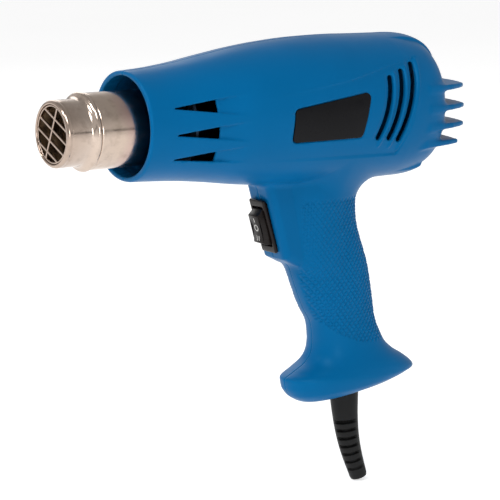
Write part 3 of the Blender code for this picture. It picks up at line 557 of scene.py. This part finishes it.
# ---------------------------------------------------------------- ring-built pieces
def rings_mesh(name, rings, tube=False):
    """Quads between rings of equal length; a tube joins the last to the first, else both ends close."""
    count = len(rings[0])
    co = world(np.concatenate(rings))
    faces = []
    pairs = [(k, k + 1) for k in range(len(rings) - 1)]
    if tube:
        pairs.append((len(rings) - 1, 0))
    for a, b in pairs:
        for i in range(count):
            j = (i + 1) % count
            faces.append((a * count + i, a * count + j, b * count + j, b * count + i))
    if not tube:
        faces.append(tuple(range(count))[::-1])
        last = (len(rings) - 1) * count
        faces.append(tuple(last + i for i in range(count)))
    mesh = bpy.data.meshes.new(name)
    mesh.from_pydata(co.tolist(), [], faces)
    bm = bmesh.new()
    bm.from_mesh(mesh)
    bmesh.ops.recalc_face_normals(bm, faces=bm.faces)
    bm.to_mesh(mesh)
    bm.free()
    mesh.shade_smooth()
    mesh.set_sharp_from_angle(angle=math.radians(50))
    return mesh


def revolve(name, profile, segments, dents=()):
    """A closed profile of (x, radius, outer) turned about the barrel's axis.

    Its outer points take round dents (x, angle, radius, depth).
    """
    angle = np.linspace(0, math.tau, segments, endpoint=False)
    rings = []
    for x, r, outer in profile:
        size = np.full(segments, float(r))
        if outer:
            for dx, da, width, depth in dents:
                turn = (angle - da + math.pi) % math.tau - math.pi
                size -= depth * np.exp(-((x - dx) ** 2 + (turn * r) ** 2) / width ** 2)
        rings.append(np.stack([np.full(segments, float(x)), size * np.cos(angle), size * np.sin(angle)], 1))
    return rings_mesh(name, rings, tube=True)


DRUM_R, TUBE_R = 20.2, 17.7


def make_nozzle():
    """Drawn steel nozzle: rear flange, drum, stop bead, tube and rolled lip, then back along the inside."""
    flange = [(98.2, 26.0), (97.0, 26.0), (96.9, 21.2), (96.2, 20.4), (95.0, DRUM_R)]
    drum = [(x, DRUM_R) for x in (*np.arange(90.0, 27.0, -6.0), *np.arange(26.0, 20.4, -0.5), 20.0)]
    bead = [(19.6, 20.05), (19.3, 19.85), (19.0, 19.95), (18.6, 20.4), (18.1, 20.75), (17.5, 20.85),
            (16.9, 20.7), (16.4, 20.3), (16.1, 19.8), (15.8, 19.2), (15.3, 18.6), (14.7, 18.1), (14.0, 17.8),
            (13.4, 17.72)]
    tube = [(x, TUBE_R) for x in np.arange(13.0, 3.4, -0.5)]
    lip = [(3.3, 17.62), (2.9, 17.5), (2.5, 17.55), (2.1, 17.7), (1.6, 17.75), (1.1, 17.65), (0.6, 17.35),
           (0.2, 16.9), (0.0, 16.4), (0.0, 15.9), (0.2, 15.65)]
    inner = [(0.8, 15.6), (1.7, 15.7), (2.3, 16.2), (2.6, 16.95), (14.2, 16.95), (16.0, 18.3), (17.5, 19.3),
             (19.4, 19.4), (60.0, 19.4), (98.2, 19.4)]
    outer = flange + drum + bead + tube + lip
    profile = [(x, r, True) for x, r in outer] + [(x, r, False) for x, r in inner]
    dents = [(22.6, math.radians(a), 1.0, 0.35) for a in (-125, -35, 55, 145)]
    dents += [(7.5, math.radians(a), 0.8, 0.22) for a in (-160, -100, -40, 20, 80, 140)]
    return link("nozzle", revolve("nozzle", profile, 160, dents))


GRILLE_TURN = math.radians(24.0)
GRILLE_BARS = (8.6, 2.15, -4.3, -10.75)  # heights of the four bars before the turn
GRILLE_CROSS = 1.1
GRILLE_R, GRILLE_X = 14.9, 0.95          # the ring's radius and its distance behind the lip


def grille_field(x, y, z):
    """Thin ring with four bars one way and one across, all with soft edges."""
    r = np.hypot(y, z)
    thick = np.abs(x - GRILLE_X) - 0.5
    ring = slab(np.abs(r - GRILLE_R) - 0.45, thick, 0.3)
    u = y * math.cos(GRILLE_TURN) + z * math.sin(GRILLE_TURN)
    v = -y * math.sin(GRILLE_TURN) + z * math.cos(GRILLE_TURN)
    bars = np.full(x.shape, 9.0)
    for offset in GRILLE_BARS:
        bars = np.minimum(bars, np.abs(v - offset) - 0.62)
    bars = np.minimum(bars, np.abs(u - GRILLE_CROSS) - 0.55)
    bars = slab(np.maximum(bars, r - GRILLE_R), thick, 0.3)
    return round_union(ring, bars, 0.3)


def guard_middle(t):
    """Point on the cable guard's middle line, a Bezier curve, at 0 to 1."""
    start, end = np.array((185.2, 0, -146.5)), np.array((195.7, 0, -207.0))
    down = start + np.array((0, 0, -36.0))
    lead = end + np.array((-5.2, 0, 15.0))
    u = 1 - t
    return start * u ** 3 + down * 3 * u * u * t + lead * 3 * u * t * t + end * t ** 3


# place along the middle line, radius
GUARD_RADII = np.array(((0.0, 8.1), (0.1, 8.1), (0.28, 7.1), (0.45, 6.4), (0.58, 6.0), (0.72, 5.6),
                        (0.86, 5.2), (0.97, 4.95), (1.0, 4.6)))
GUARD_BORE_R = 3.4
GUARD_SLOTS = 7


def make_guard():
    """Strain relief: smooth collar, then seven slots on the front and on the back, rounded at the end."""
    segments, half_angle = 96, math.radians(54)
    face = math.radians(-53.0)
    side = np.array((0, 1.0, 0))
    angle = np.linspace(0, math.tau, segments, endpoint=False)
    turn = np.abs((angle - face + math.pi) % math.tau - math.pi)
    turn = np.minimum(turn, math.pi - turn)
    window = step(half_angle + 0.07, half_angle - 0.07, turn)
    rings = []
    steps = np.concatenate([np.linspace(0.0, 0.32, 14), np.linspace(0.322, 0.985, 290), (0.99, 0.995, 1.0)])
    hops = np.diff([guard_middle(t) for t in steps], axis=0)
    lengths = np.concatenate([[0], np.cumsum(np.linalg.norm(hops, axis=1))])
    first, pitch, half = 27.2, 4.65, 0.75

    def frame_at(t):
        """Forward and along directions of the middle line."""
        along = guard_middle(min(t + 0.01, 1.0)) - guard_middle(max(t - 0.01, 0.0))
        along /= np.linalg.norm(along)
        return np.cross(side, along), along

    def circle(t, radius, shift=0.0):
        """Ring of the given radius about the middle line."""
        front, along = frame_at(t)
        spokes = np.cos(angle)[:, None] * front + np.sin(angle)[:, None] * side
        return guard_middle(t) + along * shift + np.broadcast_to(radius, angle.shape)[:, None] * spokes

    for t, at in zip(steps, lengths):
        radius = np.interp(t, GUARD_RADII[:, 0], GUARD_RADII[:, 1])
        nearest = min(max(round((at - first) / pitch), 0), GUARD_SLOTS - 1)
        slot = float(step(half + 0.22, half - 0.12, abs(at - first - nearest * pitch)))
        rings.append(circle(t, radius - min(2.3, radius - 3.9) * slot * window))
    rings.append(circle(1.0, 4.1, 0.25))
    rings.append(circle(1.0, 3.7, 0.25))
    rings += [circle(t, GUARD_BORE_R) for t in np.linspace(1.0, 0.0, 24)]
    return link("cable_guard_ribbed", rings_mesh("cable_guard_ribbed", rings, tube=True))


# ---------------------------------------------------------------- switch
def switch_point(u, y, v):
    """Switch coordinates, u into the handle and v up along the seat, to barrel millimetres."""
    c, s = math.cos(SWITCH_TILT), math.sin(SWITCH_TILT)
    return (SWITCH_X + u * c - v * s, y, SWITCH_Z + u * s + v * c)


def rounded_loop(half_w, half_h, corner, u, per_corner=5):
    """Rounded rectangle in the switch's y and v at depth u."""
    points = []
    for k, (sy, sv) in enumerate(((1, 1), (-1, 1), (-1, -1), (1, -1))):
        for i in range(per_corner + 1):
            a = math.radians(90 * k + 90 * i / per_corner)
            points.append(switch_point(u, sy * (half_w - corner) + corner * math.cos(a),
                                       sv * (half_h - corner) + corner * math.sin(a)))
    return np.array(points)


def make_bezel():
    """Switch housing: rounded bezel outside, open well for the rocker inside."""
    # half width, half height, corner radius, depth
    loops = [(6.7, 15.2, 0.9, -0.3), (6.8, 15.3, 0.9, -0.9), (6.75, 15.25, 0.9, -1.35),
             (6.55, 15.05, 0.8, -1.7), (6.25, 14.7, 0.7, -1.88), (5.5, 12.0, 0.7, -1.9),
             (5.15, 11.65, 0.6, -1.8), (4.95, 11.45, 0.5, -1.5), (4.9, 11.4, 0.4, -0.9),
             (4.9, 11.4, 0.4, 12.3), (5.4, 12.9, 0.5, 12.4), (5.4, 12.9, 0.5, -0.3)]
    rings = [rounded_loop(*loop) for loop in loops]
    return link("switch_bezel", rings_mesh("switch_bezel", rings, tube=True))


# v, u along the rocker's face, from its lower to its upper end
ROCKER_FRONT = np.array(((-10.4, -1.6), (-9.2, -4.4), (-7.9, -6.35), (-7.5, -6.6), (-6.9, -6.5), (-4.4, -6.0),
                         (-1.5, -5.7), (1.5, -5.6), (4.4, -5.75), (7.0, -6.0), (7.6, -6.05), (8.0, -5.75),
                         (9.3, -3.4), (10.4, -1.6)))


def make_rocker():
    """Rocker with a hollowed face between two lips, chamfered along its sides."""
    face = smooth_rows(ROCKER_FRONT)
    v = np.unique(np.concatenate([np.linspace(-10.4, 10.4, 84), ROCKER_FRONT[:, 0]]))
    u = face(v)[0]
    back_v = np.linspace(10.4, -10.4, 30)[1:-1]
    back_u = 8.2 * np.sqrt(np.maximum(1 - (back_v / 10.6) ** 2, 0.05)) - 0.6
    outline = np.concatenate([np.stack([u, v], 1), np.stack([back_u, back_v], 1)])
    middle = outline.mean(0)
    rings = []
    for y, shrink in ((-4.6, 0.35), (-4.5, 0.12), (-4.3, 0.0), (4.3, 0.0), (4.5, 0.12), (4.6, 0.35)):
        tangent = np.roll(outline, -1, 0) - np.roll(outline, 1, 0)
        normal = np.stack([-tangent[:, 1], tangent[:, 0]], 1)
        normal /= np.linalg.norm(normal, axis=1)[:, None] + 1e-9
        normal *= np.sign(((middle - outline) * normal).sum(1))[:, None]
        moved = outline + normal * shrink
        rings.append(np.array([switch_point(a, y, b) for a, b in moved]))
    return link("rocker", rings_mesh("rocker", rings)), face


def make_marks(face):
    """I, O and II as thin raised strokes on the rocker's face."""
    def stroke(points, width=0.45, closed=False):
        """A flat ribbon solid along (y, v) points, standing 0.06 mm proud."""
        points = np.array(points, float)
        if closed:
            tangent = np.roll(points, -1, 0) - np.roll(points, 1, 0)
        else:
            tangent = np.gradient(points, axis=0)
        normal = np.stack([-tangent[:, 1], tangent[:, 0]], 1)
        normal /= np.linalg.norm(normal, axis=1)[:, None]
        rings = []
        for side, lift in ((1, 0.25), (1, -0.06), (-1, -0.06), (-1, 0.25)):
            edge = points + normal * side * width / 2
            depth = face(edge[:, 1])[0] + lift
            rings.append(np.array([switch_point(u, y, v) for u, (y, v) in zip(depth, edge)]))
        sections = [np.array([rings[k][i] for k in range(4)]) for i in range(len(points))]
        return rings_mesh("mark", sections, tube=closed)

    turns = np.linspace(0, math.tau, 32, endpoint=False)
    ring = [(1.5 * math.cos(a), 0.6 + 1.65 * math.sin(a)) for a in turns]
    one = [(0, v) for v in np.linspace(3.9, 6.3, 6)]
    two = [[(y, v) for v in np.linspace(-6.5, -3.9, 6)] for y in (-0.95, 0.95)]
    shapes = [("rocker_mark_off", [(ring, True)]), ("rocker_mark_one", [(one, False)]),
              ("rocker_mark_two", [(bar, False) for bar in two])]
    marks = []
    for name, strokes in shapes:
        bm = bmesh.new()
        for points, closed in strokes:
            part = stroke(points, closed=closed)
            bm.from_mesh(part)
            bpy.data.meshes.remove(part)
        mesh = bpy.data.meshes.new(name)
        bm.to_mesh(mesh)
        bm.free()
        marks.append(link(name, mesh))
    return marks


# ---------------------------------------------------------------- badges and screws
def badge_field(x, y, z):
    """Plate that follows the barrel's skin, with rounded corners and edges."""
    flat = polygon(x, z, BADGE_CORE) - BADGE_CORNER + 0.15
    skin = barrel_field(x, y, z) + panel_inset(x, z)
    return slab(flat, np.abs(skin + 0.35) - 0.6, 0.4)


def make_screws():
    """Pan-head screws with a cross recess, at the bottom of their wells on the right-hand side."""
    bm = bmesh.new()
    profile = ((0.0, 0.0), (0.7, 0.0), (1.6, -0.12), (2.15, -0.4), (2.4, -0.9), (2.4, -1.6), (2.2, -1.8),
               (1.3, -1.8), (1.3, -8.0), (0.0, -8.0))
    head_height, clearance, count = 1.8, 0.3, 48
    for x, z, seat in CASE_SCREWS:
        top = seat + clearance + head_height
        rows = []
        for r, h in profile:
            ring = []
            for i in range(count):
                a = math.tau * i / count
                px, pz = r * math.cos(a), r * math.sin(a)
                sink = 0.0
                if h > -0.5:
                    arm = min(abs(px), abs(pz))
                    sink = 0.9 * float(step(0.42, 0.22, arm)) * float(step(1.75, 1.2, r))
                ring.append(bm.verts.new(world((x + px, top + h - sink, z + pz))))
            rows.append(ring)
        for a, b in zip(rows, rows[1:]):
            for i in range(count):
                j = (i + 1) % count
                bm.faces.new((a[i], a[j], b[j], b[i]))
    bmesh.ops.remove_doubles(bm, verts=bm.verts, dist=0.000002)
    bmesh.ops.recalc_face_normals(bm, faces=bm.faces)
    mesh = bpy.data.meshes.new("case_screws")
    bm.to_mesh(mesh)
    bm.free()
    mesh.shade_smooth()
    mesh.set_sharp_from_angle(angle=math.radians(40))
    return link("case_screws", mesh)


def place(piece, body, slot, *nodes):
    """Rides a piece on a body in place of CAD nodes, with a material slot."""
    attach(piece, body)
    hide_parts(*nodes)
    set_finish(piece, slot)


place(make_nozzle(), "housing", "nozzle_steel", "nozzle_tube")
grille_lines = axis_steps((-15.8, 15.8, 0.25))
grille_depths = axis_steps((0.0, 1.9, 0.16))
grille_mesh = mesh_field("outlet_grille", grille_field, grille_depths, grille_lines, grille_lines)
grille = link("outlet_grille", grille_mesh)
place(grille, "housing", "nozzle_steel", "nozzle_grille")
place(make_guard(), "housing", "rubber", "cable_guard")
place(make_bezel(), "housing", "black_plastic", "switch_body")
rocker, rocker_face = make_rocker()
place(rocker, "rocker", "black_plastic", "switch_rocker")
for mark in make_marks(rocker_face):
    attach(mark, "rocker")
    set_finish(mark, "wire_white")
badge_step = 0.3
badge_x, badge_z = axis_steps((124.5, 179.5, badge_step)), axis_steps((-13.0, 16.5, badge_step))
badge_y = axis_steps((-39.5, -31.0, 0.35))
for name, lines in (("badge_left", badge_y), ("badge_right", -badge_y[::-1])):
    plate = link(name + "_plate", mesh_field(name, badge_field, badge_x, lines, badge_z))
    place(plate, "housing", "black_gloss", name)
place(make_screws(), "housing", "zinc_steel", *[f"case_screw_{i}" for i in range(1, 10)])


# ---------------------------------------------------------------- materials
class Graph:
    """A Principled material with nodes around it; lengths are metres on the object's own coordinates."""

    def __init__(self, name, base, roughness, metallic=0.0, specular=0.5):
        self.material = bpy.data.materials.new(name)
        self.material.use_nodes = True
        self.tree = self.material.node_tree
        self.shader = self.tree.nodes["Principled BSDF"]
        self.place = self.node("ShaderNodeTexCoord").outputs["Object"]
        self.shader.inputs["Base Color"].default_value = (*base, 1)
        self.shader.inputs["Roughness"].default_value = roughness
        self.shader.inputs["Metallic"].default_value = metallic
        self.shader.inputs["Specular IOR Level"].default_value = specular
        self.bump = None

    def node(self, kind, **settings):
        """A new node with its properties set."""
        made = self.tree.nodes.new(kind)
        for key, value in settings.items():
            setattr(made, key, value)
        return made

    def link(self, a, b):
        self.tree.links.new(a, b)

    def noise(self, size, detail=3.0, stretch=(1, 1, 1), rough=0.5):
        """Noise with features about `size` metres across."""
        mapping = self.node("ShaderNodeMapping")
        mapping.inputs["Scale"].default_value = [c / size for c in stretch]
        self.link(self.place, mapping.inputs["Vector"])
        made = self.node("ShaderNodeTexNoise")
        made.inputs["Scale"].default_value = 1.0
        made.inputs["Detail"].default_value = detail
        made.inputs["Roughness"].default_value = rough
        self.link(mapping.outputs["Vector"], made.inputs["Vector"])
        return made.outputs["Fac"]

    def spread(self, source, low, high, from_low=0.3, from_high=0.7):
        """The source's stretch from_low to from_high, mapped to low to high."""
        made = self.node("ShaderNodeMapRange")
        for key, value in zip(("From Min", "From Max", "To Min", "To Max"), (from_low, from_high, low, high)):
            made.inputs[key].default_value = value
        self.link(source, made.inputs["Value"])
        return made.outputs["Result"]

    def ramp(self, source, stops):
        made = self.node("ShaderNodeValToRGB")
        while len(made.color_ramp.elements) < len(stops):
            made.color_ramp.elements.new(0.5)
        for element, (position, colour) in zip(made.color_ramp.elements, stops):
            element.position = position
            element.color = (*colour, 1)
        self.link(source, made.inputs["Fac"])
        return made.outputs["Color"]

    def mix(self, factor, a, b, blend="MIX"):
        made = self.node("ShaderNodeMix", data_type="RGBA", blend_type=blend)
        for value, socket in ((factor, 0), (a, 6), (b, 7)):
            if hasattr(value, "is_linked"):
                self.link(value, made.inputs[socket])
            elif socket == 0:
                made.inputs[socket].default_value = value
            else:
                made.inputs[socket].default_value = (*value, 1)
        return made.outputs[2]

    def relief(self, source, strength, height):
        """Bump of about `height` metres; calls stack."""
        made = self.node("ShaderNodeBump")
        made.inputs["Strength"].default_value = strength
        made.inputs["Distance"].default_value = height
        self.link(source, made.inputs["Height"])
        if self.bump:
            self.link(self.bump, made.inputs["Normal"])
        self.bump = made.outputs["Normal"]
        self.link(self.bump, self.shader.inputs["Normal"])

    def colour(self, source):
        self.link(source, self.shader.inputs["Base Color"])

    def rough(self, source):
        self.link(source, self.shader.inputs["Roughness"])

    def coordinate(self, axis):
        made = self.node("ShaderNodeSeparateXYZ")
        self.link(self.place, made.inputs["Vector"])
        return made.outputs[axis]


def scaled(colour, factor):
    return tuple(min(1.0, c * factor) for c in colour)


def plastic(name, base, roughness, specular=0.4, grain=0.0006, depth=0.00002, shift=0.1, spread=0.05):
    g = Graph(name, base, roughness, 0.0, specular)
    g.colour(g.mix(g.spread(g.noise(0.03), 0, 1), scaled(base, 1 - shift), scaled(base, 1 + shift)))
    g.rough(g.spread(g.noise(0.008, 5.0), roughness - spread, roughness + spread))
    g.relief(g.noise(grain, 2.0), 0.35, depth)
    return g.material


def case_material():
    """Moulded blue plastic, with a painted highlight on its sharp edges and painted shade in its grooves."""
    base, edge_highlight = (0.0002, 0.099, 0.262), (0.004, 0.165, 0.37)
    g = Graph("case_blue_plastic", base, 0.4, 0.0, 0.12)
    g.shader.inputs["Specular Tint"].default_value = (0.3, 0.8, 1.0, 1)
    tone = g.mix(g.spread(g.noise(0.05, 2.0), 0, 1), scaled(base, 0.95), scaled(base, 1.04))
    edge = g.node("ShaderNodeNewGeometry").outputs["Pointiness"]
    # painted highlight: convex edges, found by pointiness, turn paler
    tone = g.mix(g.spread(edge, 0.0, 0.3, 0.53, 0.60), tone, edge_highlight)
    # painted shade: grooves and hollows, found by pointiness, turn darker
    tone = g.mix(g.spread(edge, 0.35, 0.0, 0.40, 0.47), tone, scaled(base, 0.45))
    g.colour(tone)
    smears = g.spread(g.noise(0.018, 5.0, rough=0.6), 0.31, 0.41)
    g.rough(smears)
    g.relief(g.noise(0.00055, 2.0), 0.3, 0.000016)
    g.relief(g.noise(0.02, 2.0), 0.15, 0.0002)
    return g.material


def steel_material():
    """Heat-tinted sheet: warm nickel at the lip, straw, then purple-brown and blue-grey oxide by the drum."""
    g = Graph("nozzle_steel_tinted", (0.6, 0.5, 0.44), 0.27, 1.0, 0.5)
    along = g.spread(g.coordinate("X"), 0.0, 1.0, -0.175, -0.095)
    wander = g.spread(g.noise(0.022, 3.0), -0.03, 0.03)
    add = g.node("ShaderNodeMath", operation="ADD")
    g.link(along, add.inputs[0])
    g.link(wander, add.inputs[1])
    stops = [(0.0, (0.43, 0.335, 0.275)), (0.16, (0.55, 0.45, 0.38)), (0.38, (0.56, 0.45, 0.37)),
             (0.47, (0.50, 0.35, 0.31)), (0.55, (0.30, 0.19, 0.19)), (0.66, (0.035, 0.075, 0.12)),
             (1.0, (0.03, 0.07, 0.12))]
    tint = g.ramp(add.outputs[0], stops)
    soot = g.spread(g.noise(0.006, 6.0, rough=0.65), 0.0, 0.42, 0.48, 0.75)
    g.colour(g.mix(soot, tint, (0.24, 0.17, 0.13)))
    g.rough(g.spread(g.noise(0.004, 6.0, (0.25, 1, 1), 0.6), 0.11, 0.24))
    g.relief(g.noise(0.0011, 4.0, (1.0, 0.18, 0.18)), 0.05, 0.00002)
    g.relief(g.noise(0.012, 1.0), 0.08, 0.00015)
    return g.material


def metal(name, base, roughness, size=0.003, depth=0.00002):
    g = Graph(name, base, roughness, 1.0)
    g.colour(g.mix(g.spread(g.noise(size * 3, 4.0), 0, 1), scaled(base, 0.82), scaled(base, 1.08)))
    g.rough(g.spread(g.noise(size, 5.0), roughness - 0.07, roughness + 0.1))
    g.relief(g.noise(size / 4, 3.0), 0.25, depth)
    return g.material


FINISH = {
    "case_blue": case_material(),
    "black_gloss": plastic("badge_black", (0.004, 0.004, 0.005), 0.3, 0.12, 0.0009, 0.00001, 0.2, 0.05),
    "black_plastic": plastic("switch_black", (0.008, 0.0055, 0.005), 0.28, 0.18, 0.0005, 0.00002, 0.15, 0.05),
    "nozzle_steel": steel_material(),
    "zinc_steel": metal("zinc_plate", (0.42, 0.42, 0.43), 0.34),
    "blued_steel": metal("ring_blued_steel", (0.03, 0.05, 0.08), 0.45),
    "mica": plastic("mica_board", (0.55, 0.47, 0.34), 0.55, 0.5, 0.0012, 0.00006, 0.25, 0.1),
    "resistance_wire": metal("resistance_wire_oxide", (0.30, 0.27, 0.25), 0.42, 0.001),
    "fan_plastic": plastic("fan_nylon", (0.09, 0.09, 0.10), 0.5, 0.4),
    "magnet": plastic("ferrite", (0.06, 0.06, 0.065), 0.62, 0.3, 0.0004, 0.00003, 0.2, 0.08),
    "brass": metal("brass_strip", (0.66, 0.44, 0.18), 0.3),
    "carbon": plastic("carbon_brush", (0.025, 0.025, 0.026), 0.7, 0.3, 0.0004, 0.00003, 0.2, 0.08),
    "board": plastic("circuit_laminate", (0.04, 0.19, 0.07), 0.45, 0.5, 0.0007, 0.00001, 0.2, 0.06),
    "rubber": plastic("guard_rubber", (0.009, 0.009, 0.009), 0.5, 0.14, 0.0005, 0.00003, 0.15, 0.06),
    "wire_brown": plastic("lead_brown", (0.15, 0.055, 0.028), 0.45, 0.4),
    "wire_blue": plastic("lead_blue", (0.02, 0.09, 0.36), 0.45, 0.4),
    "wire_white": plastic("mark_white", (0.62, 0.61, 0.58), 0.55, 0.3, 0.0004, 0.00001, 0.06, 0.05),
}
for obj in list(bpy.context.scene.objects):
    if obj.type != "MESH":
        continue
    slot_name = obj.get("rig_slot")
    if slot_name is None and obj.material_slots and obj.material_slots[0].material:
        slot_name = obj.material_slots[0].material.name.split(".")[0]
    if obj.name == "heat_shield_ring":
        slot_name = "blued_steel"
    if slot_name in FINISH:
        if obj.material_slots:
            for holder in obj.material_slots:
                holder.material = FINISH[slot_name]
        else:
            obj.data.materials.append(FINISH[slot_name])

# ---------------------------------------------------------------- stage and light
FLOOR_HALF = 6
floor_mesh = bpy.data.meshes.new("floor")
floor_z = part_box("cable_guard")[0].z - 0.0005
corners = [(x * FLOOR_HALF, y * FLOOR_HALF, floor_z) for x, y in ((-1, -1), (1, -1), (1, 1), (-1, 1))]
floor_mesh.from_pydata(corners, [], [(0, 1, 2, 3)])
floor = link("floor", floor_mesh)
ground = Graph("floor_paper", (0.8, 0.8, 0.8), 0.85, 0.0, 0.2)
ground.colour(ground.mix(ground.spread(ground.noise(0.4, 2.0), 0, 1), (0.79, 0.79, 0.79), (0.81, 0.81, 0.81)))
ground.relief(ground.noise(0.004, 3.0), 0.1, 0.0001)
ground.shader.inputs["Emission Color"].default_value = (1, 1, 1, 1)
ground.shader.inputs["Emission Strength"].default_value = 0.52
floor_mesh.materials.append(ground.material)

sky = bpy.data.worlds.new("studio")
bpy.context.scene.world = sky
sky.use_nodes = True
nodes, links = sky.node_tree.nodes, sky.node_tree.links
backdrop = nodes["Background"]
backdrop.inputs["Color"].default_value = (1, 1, 1, 1)
direction = nodes.new("ShaderNodeTexCoord")
split = nodes.new("ShaderNodeSeparateXYZ")
fall = nodes.new("ShaderNodeValToRGB")
fall.color_ramp.interpolation = "EASE"
# brightness by the sine of the elevation: a dark band above the horizon shapes the steel's reflections
heights = ((0.0, 0.95), (0.03, 0.95), (0.045, 0.12), (0.10, 0.12), (0.13, 0.75), (0.8, 0.42))
while len(fall.color_ramp.elements) < len(heights):
    fall.color_ramp.elements.new(0.5)
for element, (position, level) in zip(fall.color_ramp.elements, heights):
    element.position = position
    element.color = (level, level, level, 1)
links.new(direction.outputs["Generated"], split.inputs[0])
links.new(split.outputs["Z"], fall.inputs["Fac"])
links.new(fall.outputs["Color"], backdrop.inputs["Color"])
bpy.context.scene.view_settings.view_transform = "Standard"
bpy.context.scene.view_settings.look = "None"


def area(name, location, target, width, power):
    """Square lamp aimed at a target."""
    lamp = bpy.data.lights.new(name, "AREA")
    lamp.shape = "SQUARE"
    lamp.size = width
    lamp.energy = power
    obj = bpy.data.objects.new(name, lamp)
    bpy.context.scene.collection.objects.link(obj)
    obj.location = location
    obj.rotation_mode = "QUATERNION"
    obj.rotation_quaternion = (Vector(target) - Vector(location)).to_track_quat("-Z", "Y")


area("key", (-1.0, -0.8, 1.4), (0, 0, 0.03), 0.7, 12)
area("front", (-1.4, 0.2, 1.15), (-0.05, 0, 0.03), 0.3, 9)
area("low", (-0.7, -1.6, 0.3), (-0.05, 0, 0.05), 0.5, 5)
area("back", (0.3, 1.5, 0.9), (0, 0, 0.03), 0.9, 4)
